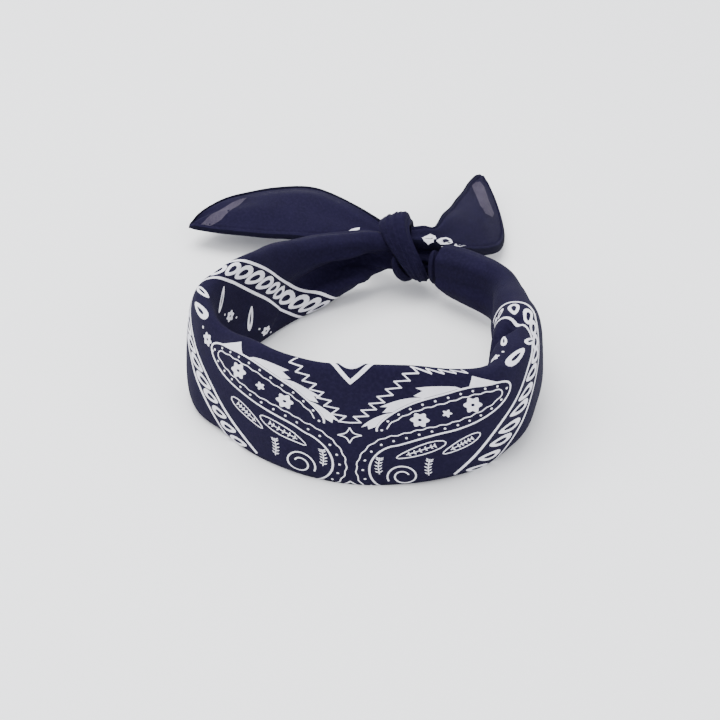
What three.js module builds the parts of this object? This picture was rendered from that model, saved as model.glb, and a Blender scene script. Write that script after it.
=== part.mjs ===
// A square cotton bandana folded corner to corner into a band, closed into a ring with a square knot,
// standing on its lower fold on a table. Millimetres, +Z up. The middle of the front stretch faces -Y,
// and the two loose corners of the square leave the knot at the back as tails.
import * as THREE from "three";

// Driving dimensions
const FOOT_FLAT = 0.6; // how far the band's lower fold is pressed flat by the table
const RING_CENTRE = [5.3, -49.4]; // the ring's middle, seen from the middle of the whole piece
const NAVY = 0x1d1f45;
const NAVY_SHADE = 0x171936;

// The band, one row for each section. turn is the place round the ring in degrees from the front,
// positive to the right; radius is from the ring's middle to the section's middle; height and thick
// are the folded roll's; lean tips its top towards the middle, in degrees; lift is its foot's height;
// groove is the depth of the hollow that the gathers open in the inner face.
const BAND_ROWS = [
  { turn: -187.5, radius: 79.9, height: 19, thick: 11.5, lean: 0, lift: 12, groove: 2 },
  { turn: -180, radius: 76.3, height: 24.5, thick: 14, lean: -1.5, lift: 9, groove: 7.5 },
  { turn: -172, radius: 71.3, height: 31, thick: 17, lean: -4, lift: 4.5, groove: 9.5 },
  { turn: -160, radius: 65.8, height: 37, thick: 16, lean: -5, lift: 1.5, groove: 8.5 },
  { turn: -149, radius: 62.6, height: 41, thick: 14, lean: -5, lift: 0, groove: 5.5 },
  { turn: -135, radius: 60, height: 45, thick: 12, lean: -3, lift: 0, groove: 2 },
  { turn: -122, radius: 60, height: 49, thick: 11.5, lean: 0, lift: 0, groove: 0.6 },
  { turn: -107, radius: 66, height: 51, thick: 12, lean: 3, lift: 0, groove: 0 },
  { turn: -90, radius: 74.2, height: 52, thick: 12.5, lean: 6, lift: 0, groove: 0 },
  { turn: -74, radius: 74, height: 52, thick: 11, lean: 6, lift: 0, groove: 0 },
  { turn: -59, radius: 69.4, height: 52, thick: 9, lean: 4, lift: 0, groove: 0 },
  { turn: -44, radius: 68.6, height: 55, thick: 8.5, lean: 4, lift: 0, groove: 0 },
  { turn: -28, radius: 68.6, height: 56, thick: 8, lean: 3, lift: 0, groove: 0 },
  { turn: -10, radius: 70, height: 58.5, thick: 8.5, lean: 2, lift: 0, groove: 0 },
  { turn: 10, radius: 71.6, height: 59, thick: 9, lean: 1, lift: 0, groove: 0 },
  { turn: 27, radius: 73.8, height: 55.5, thick: 10.5, lean: -1, lift: 0, groove: 0 },
  { turn: 42, radius: 74.9, height: 50, thick: 13, lean: -2, lift: 0, groove: 0 },
  { turn: 56, radius: 72.4, height: 48.5, thick: 20, lean: 0, lift: 0, groove: 0 },
  { turn: 70, radius: 69.2, height: 47, thick: 22, lean: 2, lift: 0, groove: 0 },
  { turn: 85, radius: 67.4, height: 45, thick: 22, lean: 2, lift: 0, groove: 0 },
  { turn: 99, radius: 66.8, height: 41, thick: 19, lean: 0, lift: 0, groove: 2.5 },
  { turn: 112, radius: 70.6, height: 35, thick: 16.5, lean: 0, lift: 1.5, groove: 3 },
  { turn: 124, radius: 75, height: 29, thick: 12.5, lean: -4, lift: 4.5, groove: 1 },
  { turn: 137, radius: 73.8, height: 26.5, thick: 13.5, lean: -8, lift: 6, groove: 0 },
  { turn: 146.5, radius: 74.6, height: 24.3, thick: 13, lean: -5.5, lift: 7.4, groove: 0 },
  { turn: 151.5, radius: 75, height: 20, thick: 12, lean: -3, lift: 11.5, groove: 0 },
];
const BAND_STEPS = 88; // lofted sections along the band
const SECTION_POINTS = 28; // points round each section
const SECTION_SQUARE = 2.7; // superellipse exponent of the folded roll
const GROOVE_AT = 0.46; // the hollow's height, as a share of the section's
const GROOVE_SPREAD = 0.26; // and its half height

const radians = (degrees) => (degrees * Math.PI) / 180;

// A smooth curve through the rows: t counts rows, and every column is interpolated alike.
function rowAt(rows, t) {
  const i = Math.min(Math.floor(t), rows.length - 2);
  const f = t - i;
  const pick = (k) => rows[Math.min(Math.max(k, 0), rows.length - 1)];
  const [a, b, c, d] = [pick(i - 1), pick(i), pick(i + 1), pick(i + 2)];
  const out = {};
  for (const key of Object.keys(b)) {
    const m0 = (c[key] - a[key]) / 2;
    const m1 = (d[key] - b[key]) / 2;
    const f2 = f * f;
    const f3 = f2 * f;
    out[key] = (2 * f3 - 3 * f2 + 1) * b[key] + (f3 - 2 * f2 + f) * m0
      + (3 * f2 - 2 * f3) * c[key] + (f3 - f2) * m1;
  }
  return out;
}

// Joins rings of points into one closed body. Every ring has the same number of points, in the same
// order. A tube that closes on itself has no end caps.
function loft(rings, closed = false) {
  const n = rings[0].length;
  const points = rings.flat();
  const faces = [];
  const joins = closed ? rings.length : rings.length - 1;
  for (let i = 0; i < joins; i++) {
    const [p, q] = [i * n, ((i + 1) % rings.length) * n];
    for (let j = 0; j < n; j++) {
      const k = (j + 1) % n;
      faces.push(p + j, p + k, q + k, p + j, q + k, q + j);
    }
  }
  if (!closed) {
    for (const [ring, last] of [[0, false], [rings.length - 1, true]]) {
      const middle = new THREE.Vector3();
      rings[ring].forEach((v) => middle.addScaledVector(v, 1 / n));
      points.push(middle);
      for (let j = 0; j < n; j++) {
        const [a, b] = [ring * n + j, ring * n + ((j + 1) % n)];
        faces.push(points.length - 1, last ? a : b, last ? b : a);
      }
    }
  }
  let volume = 0;
  for (let i = 0; i < faces.length; i += 3) {
    const [a, b, c] = [points[faces[i]], points[faces[i + 1]], points[faces[i + 2]]];
    volume += a.dot(b.clone().cross(c));
  }
  if (volume < 0) faces.reverse(); // the rings ran the other way round, so the faces are turned out
  const geometry = new THREE.BufferGeometry().setFromPoints(points);
  geometry.setIndex(faces);
  geometry.computeVertexNormals();
  return geometry;
}

const signedPower = (value, power) => Math.sign(value) * Math.abs(value) ** power;

// One section of the folded roll: [out, up] pairs, from the top over the outer face to the foot and
// back up the inner face.
function rollSection(row, count) {
  const lean = radians(row.lean);
  const section = [];
  for (let j = 0; j < count; j++) {
    const around = (2 * Math.PI * j) / count;
    let out = (row.thick / 2) * signedPower(Math.sin(around), 2 / SECTION_SQUARE);
    const up = (row.height / 2) * (1 + signedPower(Math.cos(around), 2 / SECTION_SQUARE));
    const level = (up / row.height - GROOVE_AT) / GROOVE_SPREAD;
    const inner = Math.sin(around) < 0;
    if (inner && Math.abs(level) < 1) out += row.groove * Math.cos((level * Math.PI) / 2) ** 2;
    section.push([out * Math.cos(lean) - up * Math.sin(lean), up * Math.cos(lean) + out * Math.sin(lean)]);
  }
  const lowest = Math.min(...section.map((s) => s[1]));
  return section.map(([out, up]) => [out, Math.max(0, up - lowest + row.lift - FOOT_FLAT)]);
}

function placeOnRing(row) {
  const turn = radians(row.turn);
  return new THREE.Vector3(row.radius * Math.sin(turn), -row.radius * Math.cos(turn), 0);
}

const AHEAD = 0.02; // how far ahead and behind, in rows, the band's direction is taken

function band() {
  const last = BAND_ROWS.length - 1;
  const rings = [];
  for (let i = 0; i <= BAND_STEPS; i++) {
    const t = (last * i) / BAND_STEPS;
    const row = rowAt(BAND_ROWS, t);
    const ahead = placeOnRing(rowAt(BAND_ROWS, Math.min(t + AHEAD, last)));
    const behind = placeOnRing(rowAt(BAND_ROWS, Math.max(t - AHEAD, 0)));
    const along = ahead.sub(behind).normalize();
    const out = new THREE.Vector3(along.y, -along.x, 0);
    const foot = placeOnRing(row);
    rings.push(rollSection(row, SECTION_POINTS).map(([a, z]) =>
      foot.clone().addScaledVector(out, a).setZ(z)));
  }
  return loft(rings);
}

// The knot, in a frame of its own: across its length, back from its front face and up from its
// middle. Each wrap is a strap of gathered folds wound over the core, from one angle to another
// (0 is its top, 90 its front, 180 its foot); slant leans it in degrees, peak is the height of the
// sharp fold on its top and peakSide that fold's place, from -1 on the left edge to 1 on the right;
// sweep is how far the strap's front swings to the right.
const KNOT = { x: 20, y: 79, z: 22.5, yaw: -14 };
const WRAPS = {
  knot_wrap_over: {
    from: 0, to: 360, across: 1.1, back: 1, up: -1.2, deep: 28, tall: 30.6, topWide: 15, footWide: 5.5,
    wall: 3.4, slant: 25.5, sweep: 3.4, pleats: 3, pleatDepth: 0.25, peak: 5, peakSide: 0.55,
  },
  knot_wrap_under: {
    from: 84, to: 200, across: 0.5, back: 0.3, up: -0.5, deep: 27, tall: 33, topWide: 1.5,
    footWide: 7.4, wall: 4, slant: 3.3, sweep: -4.2, pleats: 1, pleatDepth: 0.3, peak: 0, peakSide: 0,
  },
  knot_wrap_side: {
    from: 42, to: 205, across: 15.22, back: -1.5, up: -2.5, deep: 22, tall: 26, topWide: 5,
    footWide: 4.6, wall: 3.2, slant: 0, sweep: 0, pleats: 1, pleatDepth: 0.3, peak: 0, peakSide: 0,
  },
};
const WRAP_STEPS = 44; // for a whole turn
const WRAP_FACE_POINTS = 10; // points across the strap's outer face
const WRAP_INNER_SIDES = [0.86, 0, -0.86]; // points across its inner face, as shares of half its width
const WRAP_END_WIDE = 0.25; // how narrow a strap's tucked end is, as a share of its width
const WRAP_ROUND = 0.45; // how far the edges fall below the middle, as a share of the wall
const WRAP_THINNEST = 0.8;
const PEAK_SLOPE = { left: 1.6, right: 0.7 }; // how far the sharp fold's two slopes reach

function inKnot(across, back, up) {
  const yaw = radians(KNOT.yaw);
  return new THREE.Vector3(
    KNOT.x + across * Math.cos(yaw) - back * Math.sin(yaw),
    KNOT.y + across * Math.sin(yaw) + back * Math.cos(yaw),
    KNOT.z + up,
  );
}

function wrap(w) {
  const whole = w.to - w.from === 360;
  const steps = Math.round((WRAP_STEPS * (w.to - w.from)) / 360);
  const lean = Math.tan(radians(w.slant)) * (w.tall / 2);
  const rings = [];
  for (let i = 0; i < steps + (whole ? 0 : 1); i++) {
    const turn = w.from + ((w.to - w.from) * i) / steps;
    const around = radians(turn);
    const fromMiddle = Math.abs((2 * i) / steps - 1);
    const end = whole ? 1 : WRAP_END_WIDE + (1 - WRAP_END_WIDE) * Math.sqrt(1 - fromMiddle ** 5);
    const top = Math.max(0, Math.cos(around));
    const lag = turn > 180 ? ((360 - turn) / 180) ** 2 : 1; // the back of the strap stays to the left
    const front = Math.max(0, Math.sin(around));
    const shift = w.sweep * front ** 2 - lean * (1 - (1 - Math.cos(around)) * lag);
    const wide = THREE.MathUtils.lerp(w.footWide, w.topWide, Math.abs(Math.cos(around / 2)));
    const at = (side, height) => inKnot(
      w.across + shift + (side * wide * end) / 2,
      w.back - Math.sin(around) * (w.deep / 2 + height),
      w.up + Math.cos(around) * (w.tall / 2 + height),
    );
    const ring = [];
    for (let j = 0; j <= WRAP_FACE_POINTS; j++) {
      const side = -1 + (2 * j) / WRAP_FACE_POINTS;
      const crown = w.wall * (end - 1 - WRAP_ROUND * Math.abs(side) ** 2.5);
      const pleat = w.pleatDepth * (Math.cos(side * Math.PI * w.pleats) - 1);
      const slope = side < w.peakSide ? PEAK_SLOPE.left : PEAK_SLOPE.right;
      const peak = w.peak * top ** 3 * Math.max(0, 1 - Math.abs(side - w.peakSide) / slope);
      ring.push(at(side, Math.max(crown + pleat + peak, WRAP_THINNEST - w.wall)));
    }
    for (const side of WRAP_INNER_SIDES) ring.push(at(side, -w.wall));
    rings.push(ring);
  }
  return loft(rings, whole);
}

// The core: the folds packed inside the wraps, from the band's left end to its right end.
const CORE_ROWS = [
  { across: -6.6, back: -1, up: -0.9, deep: 13, tall: 18.6 },
  { across: -3.4, back: 0.3, up: -1, deep: 16, tall: 19.4 },
  { across: 2.5, back: 0.4, up: -3.7, deep: 16.4, tall: 14.2 },
  { across: 9, back: 0.2, up: -4.9, deep: 13.6, tall: 12.8 },
  { across: 16.5, back: -1, up: -5, deep: 12, tall: 11.2 },
];
const CORE_STEPS = 14;
const CORE_POINTS = 20;

function core() {
  const rings = [];
  for (let i = 0; i <= CORE_STEPS; i++) {
    const row = rowAt(CORE_ROWS, ((CORE_ROWS.length - 1) * i) / CORE_STEPS);
    const ring = [];
    for (let j = 0; j < CORE_POINTS; j++) {
      const a = (2 * Math.PI * j) / CORE_POINTS;
      const back = row.back + (row.deep / 2) * Math.cos(a);
      const up = row.up + (row.tall / 2) * Math.sin(a);
      ring.push(inKnot(row.across, back, up));
    }
    rings.push(ring);
  }
  return loft(rings);
}

// The tails, one row for each section from the knot to the cloth's corner: the near and far edge
// in the ring's frame, the rise of the middle above the line between them, and the layers' thickness.
const TAIL_LEFT_ROWS = [
  { nx: 8.5, ny: 85.5, nz: 20, fx: 10.2, fy: 95, fz: 24.6, rise: 2, thick: 4.5 },
  { nx: -7, ny: 92, nz: 17, fx: -3, fy: 112, fz: 24.7, rise: 4, thick: 3.6 },
  { nx: -22, ny: 98, nz: 15, fx: -17, fy: 133, fz: 21, rise: 5, thick: 3 },
  { nx: -35, ny: 102.5, nz: 14, fx: -29, fy: 147, fz: 17, rise: 5.5, thick: 2.6 },
  { nx: -48, ny: 105.5, nz: 13, fx: -45, fy: 148, fz: 16, rise: 5, thick: 2.4 },
  { nx: -60, ny: 108.5, nz: 12.5, fx: -59, fy: 146, fz: 14.5, rise: 4, thick: 2.2 },
  { nx: -72, ny: 111.5, nz: 12, fx: -71, fy: 141.5, fz: 13.5, rise: 2.6, thick: 1.8 },
  { nx: -82, ny: 115, nz: 11.5, fx: -81, fy: 132, fz: 12.5, rise: 1.2, thick: 1.5 },
  { nx: -88, ny: 118, nz: 11, fx: -87.6, fy: 121, fz: 11.2, rise: 0, thick: 1.3 },
];
const TAIL_RIGHT_ROWS = [
  { nx: 22, ny: 72.5, nz: 28, fx: 22, fy: 81.5, fz: 31, rise: 1, thick: 3.4 },
  { nx: 29.5, ny: 72.5, nz: 27, fx: 28, fy: 82, fz: 31.3, rise: 1.4, thick: 3.8 },
  { nx: 38, ny: 75.5, nz: 23.6, fx: 33, fy: 85.5, fz: 28.5, rise: 2, thick: 4 },
  { nx: 52, ny: 86, nz: 15, fx: 37.5, fy: 99, fz: 28, rise: 3, thick: 3.6 },
  { nx: 65, ny: 100, nz: 8, fx: 42, fy: 114, fz: 23.5, rise: 4, thick: 3 },
  { nx: 70, ny: 114, nz: 5, fx: 46, fy: 129, fz: 20, rise: 4.5, thick: 2.5 },
  { nx: 70.5, ny: 127, nz: 5.5, fx: 50, fy: 143, fz: 16.5, rise: 4, thick: 2.2 },
  { nx: 69, ny: 143, nz: 7, fx: 53.5, fy: 157, fz: 13.5, rise: 3, thick: 1.8 },
  { nx: 66.5, ny: 158, nz: 8.5, fx: 57.5, fy: 168, fz: 11.5, rise: 1.5, thick: 1.5 },
  { nx: 63.5, ny: 172.5, nz: 9.5, fx: 60.5, fy: 173.5, fz: 10.5, rise: 0, thick: 1.3 },
];
const TAIL_STEPS = 26;
const TAIL_ACROSS = 10;
const TAIL_EDGE = 0.35; // the layers' thickness at the two edges, as a share of the middle's

function tail(rows) {
  const rings = [];
  for (let i = 0; i <= TAIL_STEPS; i++) {
    const row = rowAt(rows, ((rows.length - 1) * i) / TAIL_STEPS);
    const near = new THREE.Vector3(row.nx, row.ny, row.nz);
    const far = new THREE.Vector3(row.fx, row.fy, row.fz);
    const upper = [];
    const lower = [];
    for (let j = 0; j <= TAIL_ACROSS; j++) {
      const v = j / TAIL_ACROSS;
      const edge = Math.sqrt(Math.max(0, 1 - (2 * v - 1) ** 6));
      const middle = near.clone().lerp(far, v);
      middle.z += row.rise * Math.sin(Math.PI * v);
      const half = (row.thick / 2) * (TAIL_EDGE + (1 - TAIL_EDGE) * edge);
      upper.push(middle.clone().setZ(middle.z + half));
      lower.push(middle.clone().setZ(middle.z - half));
    }
    rings.push([...upper, ...lower.reverse()]);
  }
  return loft(rings);
}

const part = new THREE.Group();

function add(name, geometry, color) {
  const material = new THREE.MeshStandardMaterial({ color, roughness: 0.85, metalness: 0 });
  const mesh = new THREE.Mesh(geometry, material);
  mesh.name = name;
  mesh.position.set(RING_CENTRE[0], RING_CENTRE[1], 0);
  part.add(mesh);
}

add("band", band(), NAVY);
for (const [name, size] of Object.entries(WRAPS)) add(name, wrap(size), NAVY);
add("knot_core", core(), NAVY_SHADE);
add("tail_left", tail(TAIL_LEFT_ROWS), NAVY);
add("tail_right", tail(TAIL_RIGHT_ROWS), NAVY);

export default part;
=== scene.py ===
"""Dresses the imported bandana: printed cotton on the folded band, the square knot and the two tails.

Lengths are in millimetres in the ring's own frame until a mesh is made, which is in metres. The print
is laid out in centimetres on the flat cloth: p runs along the band from the print's middle, positive
to the right, and u runs across it from the upper fold, positive down the outer face.
"""
import math

import bmesh
import bpy
import numpy as np
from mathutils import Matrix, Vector
from mathutils.geometry import delaunay_2d_cdt


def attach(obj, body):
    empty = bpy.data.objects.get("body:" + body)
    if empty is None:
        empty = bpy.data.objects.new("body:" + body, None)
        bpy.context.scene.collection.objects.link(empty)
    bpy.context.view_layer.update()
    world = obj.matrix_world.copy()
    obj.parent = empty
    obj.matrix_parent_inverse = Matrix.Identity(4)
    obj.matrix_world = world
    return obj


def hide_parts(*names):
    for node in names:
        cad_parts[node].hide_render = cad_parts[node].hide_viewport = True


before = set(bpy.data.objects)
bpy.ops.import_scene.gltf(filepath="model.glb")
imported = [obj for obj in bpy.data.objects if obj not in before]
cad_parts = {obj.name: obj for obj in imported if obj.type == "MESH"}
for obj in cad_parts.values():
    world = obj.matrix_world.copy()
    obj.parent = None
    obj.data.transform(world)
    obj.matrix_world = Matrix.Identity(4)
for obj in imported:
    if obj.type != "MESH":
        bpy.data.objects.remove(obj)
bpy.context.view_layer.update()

MM = 0.001
RING_CENTRE = (5.3, -49.4, 0.0)  # the ring's middle in the part's frame
NAVY = (0.0066, 0.005, 0.0203)
NAVY_THREAD = (0.0148, 0.0118, 0.0345)
INK = (0.86, 0.84, 0.88)
FLOOR = (0.93, 0.93, 0.93)

# The folded band, the same sections as the solid's: the turn round the ring in degrees from the front,
# the radius, height and thickness, the lean in degrees, the foot's lift and the inner face's groove
BAND_COLUMNS = "turn radius height thick lean lift groove"
BAND_ROWS = [
    (-187.5, 79.9, 19, 11.5, 0, 12, 2),
    (-180, 76.3, 24.5, 14, -1.5, 9, 7.5),
    (-172, 71.3, 31, 17, -4, 4.5, 9.5),
    (-160, 65.8, 37, 16, -5, 1.5, 8.5),
    (-149, 62.6, 41, 14, -5, 0, 5.5),
    (-135, 60, 45, 12, -3, 0, 2),
    (-122, 60, 49, 11.5, 0, 0, 0.6),
    (-107, 66, 51, 12, 3, 0, 0),
    (-90, 74.2, 52, 12.5, 6, 0, 0),
    (-74, 74, 52, 11, 6, 0, 0),
    (-59, 69.4, 52, 9, 4, 0, 0),
    (-44, 68.6, 55, 8.5, 4, 0, 0),
    (-28, 68.6, 56, 8, 3, 0, 0),
    (-10, 70, 58.5, 8.5, 2, 0, 0),
    (10, 71.6, 59, 9, 1, 0, 0),
    (27, 73.8, 55.5, 10.5, -1, 0, 0),
    (42, 74.9, 50, 13, -2, 0, 0),
    (56, 72.4, 48.5, 20, 0, 0, 0),
    (70, 69.2, 47, 22, 2, 0, 0),
    (85, 67.4, 45, 22, 2, 0, 0),
    (99, 66.8, 41, 19, 0, 0, 2.5),
    (112, 70.6, 35, 16.5, 0, 1.5, 3),
    (124, 75, 29, 12.5, -4, 4.5, 1),
    (137, 73.8, 26.5, 13.5, -8, 6, 0),
    (146.5, 74.6, 24.3, 13, -5.5, 7.4, 0),
    (151.5, 75, 20, 12, -3, 11.5, 0),
]
SECTION_SQUARE = 2.7
GROOVE_AT = 0.46
GROOVE_SPREAD = 0.26
FOOT_FLAT = 0.6
PRINT_MIDDLE_TURN = -4.8  # where the print's own middle lies on the ring, in degrees

# The knot's frame and its straps, as in the solids but for the finer pleats: count, depth and phase
KNOT = {"x": 20, "y": 79, "z": 22.5, "yaw": -14}
WRAPS = {
    "knot_wrap_over": {
        "from": 0, "to": 360, "across": 1.1, "back": 1, "up": -1.2, "deep": 28, "tall": 30.6, "top_wide": 15,
        "foot_wide": 5.5, "wall": 3.4, "slant": 25.5, "sweep": 3.4, "peak": 5, "peak_side": 0.55,
        "pleats": [(3, 0.22, 0.0), (5, 0.18, 1.3), (8, 0.12, 0.4)],
    },
    "knot_wrap_under": {
        "from": 84, "to": 200, "across": 0.5, "back": 0.3, "up": -0.5, "deep": 27, "tall": 33,
        "top_wide": 1.5, "foot_wide": 7.4, "wall": 4, "slant": 3.3, "sweep": -4.2, "peak": 0, "peak_side": 0,
        "pleats": [(1, 0.2, 0.0), (3.5, 0.08, 0.8)],
    },
    "knot_wrap_side": {
        "from": 42, "to": 205, "across": 15.22, "back": -1.5, "up": -2.5, "deep": 22, "tall": 26,
        "top_wide": 5, "foot_wide": 4.6, "wall": 3.2, "slant": 0, "sweep": 0, "peak": 0, "peak_side": 0,
        "pleats": [(1, 0.3, 0.0), (2.5, 0.15, 0.4)],
    },
}
PEAK_LEFT, PEAK_RIGHT = 1.6, 0.7
# The core's rows, up to 1.2 mm taller than the solid's
CORE_COLUMNS = "across back up deep tall"
CORE_ROWS = [
    (-6.6, -1, -0.9, 13, 18.6),
    (-3.4, 0.3, -1.4, 16, 20.2),
    (2.5, 0.4, -4.1, 16.4, 15),
    (9, 0.2, -4.3, 13.6, 14),
    (16.5, -1, -5, 12, 11.2),
]

# The tails' sections, as in the solids: near and far edge, the middle's rise and the layers' thickness.
TAIL_COLUMNS = "nx ny nz fx fy fz rise thick"
TAILS = {
    "tail_left": [
        (8.5, 85.5, 20, 10.2, 95, 24.6, 2, 4.5),
        (-7, 92, 17, -3, 112, 24.7, 4, 3.6),
        (-22, 98, 15, -17, 133, 21, 5, 3),
        (-35, 102.5, 14, -29, 147, 17, 5.5, 2.6),
        (-48, 105.5, 13, -45, 148, 16, 5, 2.4),
        (-60, 108.5, 12.5, -59, 146, 14.5, 4, 2.2),
        (-72, 111.5, 12, -71, 141.5, 13.5, 2.6, 1.8),
        (-82, 115, 11.5, -81, 132, 12.5, 1.2, 1.5),
        (-88, 118, 11, -87.6, 121, 11.2, 0, 1.3),
    ],
    "tail_right": [
        (22, 72.5, 28, 22, 81.5, 31, 1, 3.4),
        (29.5, 72.5, 27, 28, 82, 31.3, 1.4, 3.8),
        (38, 75.5, 23.6, 33, 85.5, 28.5, 2, 4),
        (52, 86, 15, 37.5, 99, 28, 3, 3.6),
        (65, 100, 8, 42, 114, 23.5, 4, 3),
        (70, 114, 5, 46, 129, 20, 4.5, 2.5),
        (70.5, 127, 5.5, 50, 143, 16.5, 4, 2.2),
        (69, 143, 7, 53.5, 157, 13.5, 3, 1.8),
        (66.5, 158, 8.5, 57.5, 168, 11.5, 1.5, 1.5),
        (63.5, 172.5, 9.5, 60.5, 173.5, 10.5, 0, 1.3),
    ],
}


def columns(names, rows):
    """A table's rows as one array for each named column."""
    return dict(zip(names.split(), np.array(rows, dtype=float).T))


def row_at(table, t):
    """The table's columns at t, which counts rows, on a smooth curve through the rows."""
    count = len(next(iter(table.values())))
    t = np.asarray(t, dtype=float)
    i = np.minimum(np.floor(t).astype(int), count - 2)
    f = t - i
    out = {}
    for name, column in table.items():
        a, b = column[np.maximum(i - 1, 0)], column[i]
        c, d = column[i + 1], column[np.minimum(i + 2, count - 1)]
        m0, m1 = (c - a) / 2, (d - b) / 2
        out[name] = (
            (2 * f**3 - 3 * f**2 + 1) * b
            + (f**3 - 2 * f**2 + f) * m0
            + (3 * f**2 - 2 * f**3) * c
            + (f**3 - f**2) * m1
        )
    return out


def smooth_step(low, high, x):
    t = np.clip((np.asarray(x, dtype=float) - low) / (high - low), 0, 1)
    return t * t * (3 - 2 * t)


def bump(x, middle, reach):
    """1 at the middle, falling smoothly to 0 at the reach on each side."""
    return 1 - smooth_step(0, 1, np.abs(np.asarray(x, dtype=float) - middle) / reach)


def unit(v):
    return v / np.maximum(np.linalg.norm(v, axis=-1, keepdims=True), 1e-12)


def path_steps(points):
    """The distance along a row of points, from its first."""
    steps = np.linalg.norm(np.diff(points, axis=0), axis=1)
    return np.concatenate([[0], np.cumsum(steps)])


class Surface:
    """A smooth sheet given by a grid of points, looked up by its two flat coordinates."""

    def __init__(self, points, a_of_row, to_column, outside):
        self.points = points
        self.a_of_row = a_of_row
        self.to_column = to_column
        self.outside = outside
        self.update()

    def update(self):
        down = np.gradient(self.points, axis=0)
        across = np.gradient(self.points, axis=1)
        normal = unit(np.cross(down, across))
        self.normals = normal * np.sign(np.sum(normal * self.outside, axis=2, keepdims=True).mean())

    def press(self, heights):
        """Moves each grid point along its normal, for creases and pleats."""
        self.points = self.points + self.normals * heights[:, :, None]
        self.update()

    def sample(self, grid, flat):
        row = np.interp(flat[:, 0], self.a_of_row, np.arange(len(self.a_of_row)))
        column = np.clip(self.to_column(flat[:, 0], flat[:, 1]), 0, grid.shape[1] - 1)
        i = np.minimum(row.astype(int), grid.shape[0] - 2)
        j = np.minimum(column.astype(int), grid.shape[1] - 2)
        f, g = (row - i)[:, None], (column - j)[:, None]
        near = grid[i, j] * (1 - g) + grid[i, j + 1] * g
        far = grid[i + 1, j] * (1 - g) + grid[i + 1, j + 1] * g
        return near * (1 - f) + far * f

    def at(self, flat):
        return self.sample(self.points, flat), unit(self.sample(self.normals, flat))


# The band's surface
BAND_STATIONS = 700
BAND_SIDE = 130  # grid points from the upper fold to the foot, on each side


def signed_power(value, power):
    return np.sign(value) * np.abs(value) ** power


def roll_sections(row, around):
    """Each section's [out, up] in millimetres at the angles around, from the top over the outer face."""
    sine, cosine = np.sin(around)[None, :], np.cos(around)[None, :]
    thick, height = row["thick"][:, None], row["height"][:, None]
    out = thick / 2 * signed_power(sine, 2 / SECTION_SQUARE)
    up = height / 2 * (1 + signed_power(cosine, 2 / SECTION_SQUARE))
    level = (up / height - GROOVE_AT) / GROOVE_SPREAD
    hollow = row["groove"][:, None] * np.cos(np.clip(level, -1, 1) * math.pi / 2) ** 2
    out = out + np.where(sine < -1e-9, hollow, 0)
    lean = np.radians(row["lean"])[:, None]
    leaned = out * np.cos(lean) - up * np.sin(lean)
    raised = up * np.cos(lean) + out * np.sin(lean)
    raised = raised - raised.min(axis=1, keepdims=True) + row["lift"][:, None] - FOOT_FLAT
    return leaned, np.maximum(raised, 0)


def make_band_surface():
    table = columns(BAND_COLUMNS, BAND_ROWS)
    row = row_at(table, np.linspace(0, len(BAND_ROWS) - 1, BAND_STATIONS))
    turn = np.radians(row["turn"])
    foot = np.stack([row["radius"] * np.sin(turn), -row["radius"] * np.cos(turn)], axis=1)
    along = unit(np.gradient(foot, axis=0))
    out = np.stack([along[:, 1], -along[:, 0]], axis=1)
    around = np.linspace(0, 2 * math.pi, 721)
    leaned, raised = roll_sections(row, around)
    flat = foot[:, None, :] + out[:, None, :] * leaned[:, :, None]
    ring = np.concatenate([flat, raised[:, :, None]], axis=2)
    middle = ring[:, :-1].mean(axis=1)
    p = path_steps(middle[:, :2]) / 10
    p = p - np.interp(PRINT_MIDDLE_TURN, row["turn"], p)
    half = len(around) // 2
    share = np.linspace(0, 1, BAND_SIDE + 1)
    grid = np.zeros((BAND_STATIONS, 2 * BAND_SIDE + 1, 3))
    reach = np.zeros((BAND_STATIONS, 2))
    for k in range(BAND_STATIONS):
        sides = (ring[k, : half + 1], ring[k, : half - 1 : -1])
        for side, path in enumerate(sides):
            steps = path_steps(path)
            reach[k, side] = steps[-1] / 10
            places = share * steps[-1]
            points = np.stack([np.interp(places, steps, path[:, c]) for c in range(3)], axis=1)
            if side == 0:
                grid[k, BAND_SIDE:] = points
            else:
                grid[k, BAND_SIDE::-1] = points

    def to_column(a, b):
        outer = np.interp(a, p, reach[:, 0])
        inner = np.interp(a, p, reach[:, 1])
        return BAND_SIDE * (1 + np.where(b > 0, b / outer, b / inner))

    outside = grid - middle[:, None, :]
    surface = Surface(grid, p, to_column, outside)
    surface.reach = reach
    return surface


# The band's creases: depths in millimetres, the rest in centimetres of the flat cloth. A pair under
# "along" or "across" is a middle and its reach, and a slant is how far the crease runs with u.
BAND_WAVES = [(0.25, 1.1, 0.7, 0), (0.18, 2.3, -1.1, 1)]  # depth, rate along, rate across, phase
GATHER = {"left": (-15.5, -20.5), "right": (15, 19), "folds": [(0.7, 0.2, 4.2, 0), (0.3, 0, 9, 1)]}
LIP = {"at": 10.25, "slant": 0.9, "rise": 1.1, "across": (-0.6, 2.2)}
LIP_START, LIP_FADE = (-0.15, 0.12), (2.6, 0.6)
UNDER_LIP = {"depth": 7.0, "before": 0.35, "spread": 0.42, "across": (-0.75, 1.25)}
INNER_PLEAT = {"depth": 0.9, "at": -18.2, "slant": -0.85, "along": (-15.6, 3.4), "across": (-3.6, 2.6)}
PLEAT_EDGE = 0.25
REAR_HOLLOW = {"depth": 2.4, "along": (-20.0, 2.8), "across": (-2.2, 0.75)}
DRAPES = [
    {"depth": 0.5, "slant": 0.8, "along": (-5.2, 0.9), "across": (2.4, 2.8)},
    {"depth": 0.45, "slant": -0.9, "along": (9.2, 0.8), "across": (3.0, 3)},
]
RIM_FADE = 0.12  # the share of the reach over which the creases fade out at the foot


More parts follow.
